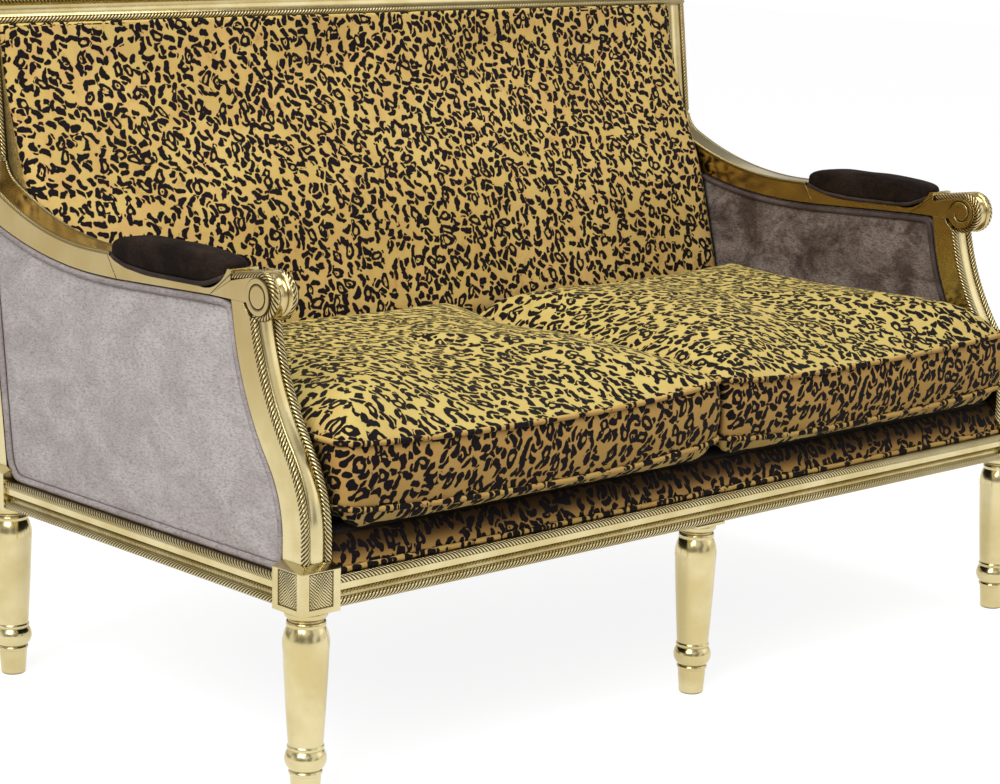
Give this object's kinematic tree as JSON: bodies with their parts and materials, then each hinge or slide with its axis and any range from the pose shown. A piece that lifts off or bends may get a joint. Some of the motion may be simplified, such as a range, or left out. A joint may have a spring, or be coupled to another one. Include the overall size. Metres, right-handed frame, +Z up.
{
  "type": "two-seater settee",
  "caption": "Settee with a moulded brass-clad frame, swept arms ending in scrolls, turned legs, upholstered sides and back, and loose box cushions.",
  "frame": {"origin": "on the floor, under the middle of the overall width and depth", "axes": "+X to the right of someone facing the settee from the front, +Y to the back, +Z up; the front faces -Y"},
  "size_m": [1.46, 0.8174, 0.9609],
  "materials": {
    "brass_cladding": "aged polished sheet with dark patina in the recesses",
    "print_velvet": "short velvet pile with an all-over dark spot print",
    "grey_velvet": "short velvet pile",
    "taupe_velvet": "short velvet pile",
    "brown_velvet": "short velvet pile",
    "deck_cloth": "plain weave",
    "jute_webbing": "plain weave",
    "black_cambric": "thin plain weave",
    "beech": "sawn and planed",
    "zinc_steel": "plated"
  },
  "bodies": {
    "frame": {"back_pad": "print_velvet", "back_webbing": "jute_webbing", "corner_braces": "beech", "dust_cover": "black_cambric", "front_border": "print_velvet", "front_centre_leg": "brass_cladding", "front_left_block": "brass_cladding", "front_left_leg": "brass_cladding", "front_rail": "brass_cladding", "front_right_block": "brass_cladding", "front_right_leg": "brass_cladding", "left_arm_post": "brass_cladding", "left_arm_rail": "brass_cladding", "left_arm_scroll": "brass_cladding", "left_back_stile": "brass_cladding", "left_elbow_pad": "brown_velvet", "left_inner_panel": "taupe_velvet", "left_outer_panel": "grey_velvet", "left_pad_base": "brass_cladding", "left_rail": "brass_cladding", "leg_bolts": "zinc_steel", "lower_back_rail": "beech", "outside_back": "grey_velvet", "rear_centre_leg": "brass_cladding", "rear_left_block": "brass_cladding", "rear_left_leg": "brass_cladding", "rear_rail": "brass_cladding", "rear_right_block": "brass_cladding", "rear_right_leg": "brass_cladding", "right_arm_post": "brass_cladding", "right_arm_rail": "brass_cladding", "right_arm_scroll": "brass_cladding", "right_back_stile": "brass_cladding", "right_elbow_pad": "brown_velvet", "right_inner_panel": "taupe_velvet", "right_outer_panel": "grey_velvet", "right_pad_base": "brass_cladding", "right_rail": "brass_cladding", "seat_centre_rail": "beech", "seat_deck": "deck_cloth", "seat_webbing": "jute_webbing", "top_rail": "brass_cladding"},
    "left_cushion": {"left_cushion": "print_velvet"},
    "right_cushion": {"right_cushion": "print_velvet"}
  },
  "joints": [
    {"name": "left_cushion_lift", "type": "slide", "parent": "frame", "child": "left_cushion", "axis": [0, 0, 1], "range_m": [0, 0.35]},
    {"name": "right_cushion_lift", "type": "slide", "parent": "frame", "child": "right_cushion", "axis": [0, 0, 1], "range_m": [0, 0.35]}
  ]
}
